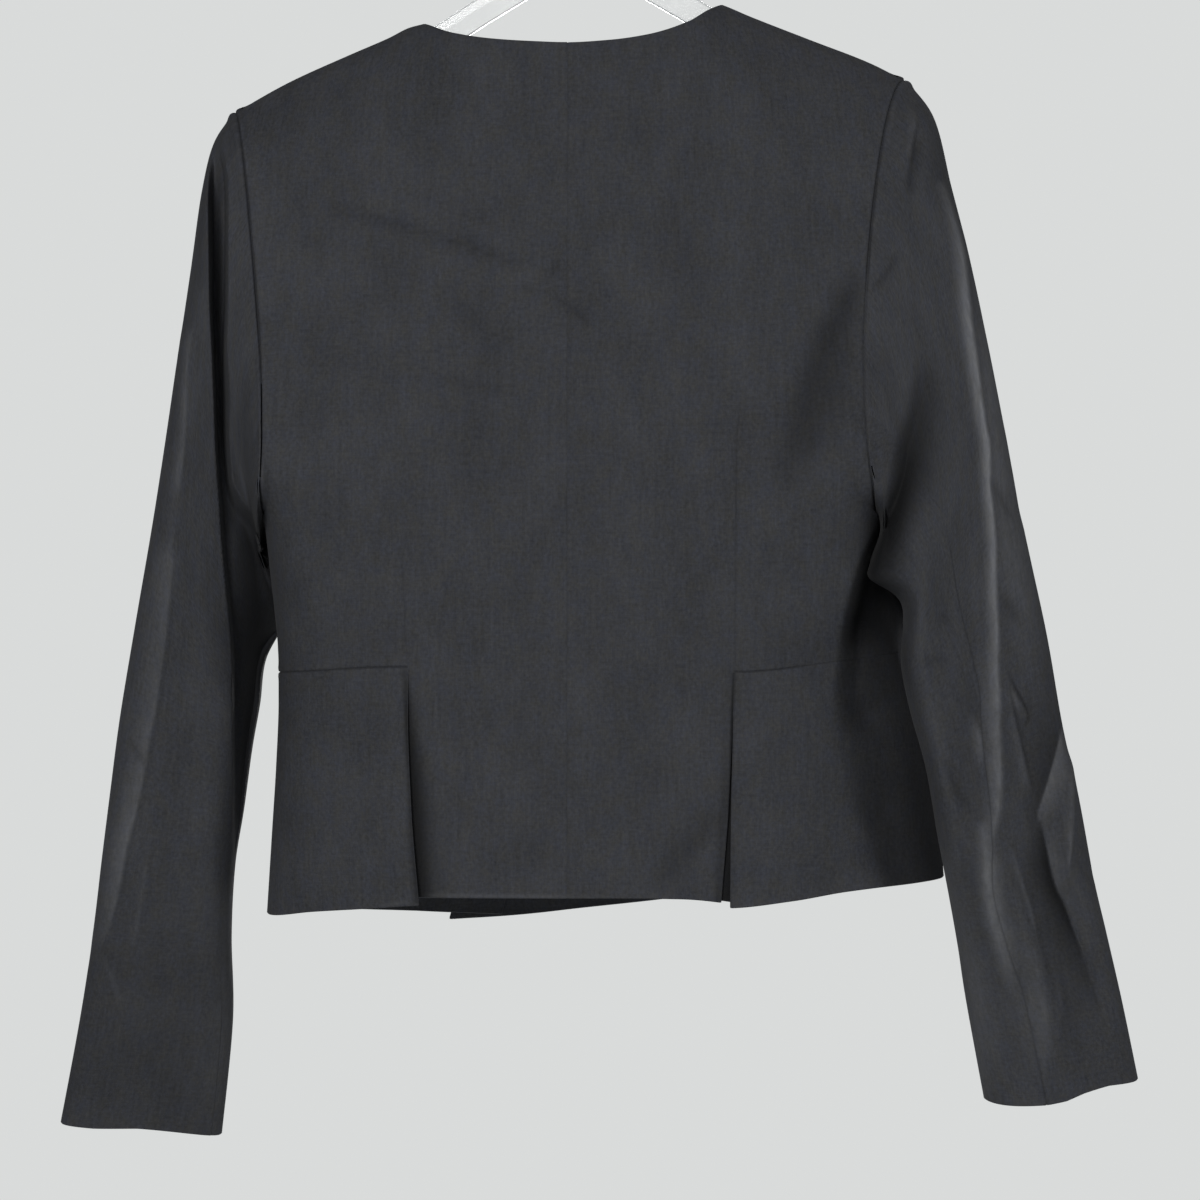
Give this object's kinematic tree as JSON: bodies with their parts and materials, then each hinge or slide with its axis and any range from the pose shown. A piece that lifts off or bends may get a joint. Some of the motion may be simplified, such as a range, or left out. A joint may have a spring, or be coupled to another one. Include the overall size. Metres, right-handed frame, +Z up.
{
  "type": "suit jacket on hanger",
  "caption": "Cropped collarless charcoal suit jacket with set-in sleeves, a peplum and back vents, hanging open at neck, hem and cuffs on a flat clear hanger with a wire hook.",
  "frame": {"origin": "inside of the hook, where it rests on a rail", "axes": "+Z up; the back of the jacket faces -Y and its front +Y; +X towards the wearer's right sleeve"},
  "size_m": [0.6512, 0.1774, 0.795],
  "materials": {
    "charcoal_suiting": "fine matte worsted, lightly heathered",
    "dark_button": "satin resin",
    "clear_plastic": "clear polished",
    "hook_steel": "bright plated wire"
  },
  "bodies": {
    "root": {"back_left": "charcoal_suiting", "back_right": "charcoal_suiting", "front_left": "charcoal_suiting", "front_right": "charcoal_suiting", "peplum_left": "charcoal_suiting", "peplum_right": "charcoal_suiting", "sleeve_top_left": "charcoal_suiting", "sleeve_top_right": "charcoal_suiting", "sleeve_under_left": "charcoal_suiting", "sleeve_under_right": "charcoal_suiting", "vent_underlay_left": "charcoal_suiting", "vent_underlay_right": "charcoal_suiting", "button_1": "dark_button", "button_2": "dark_button", "button_3": "dark_button", "button_4": "dark_button", "hanger_body": "clear_plastic", "hanger_hook": "hook_steel"}
  },
  "joints": []
}
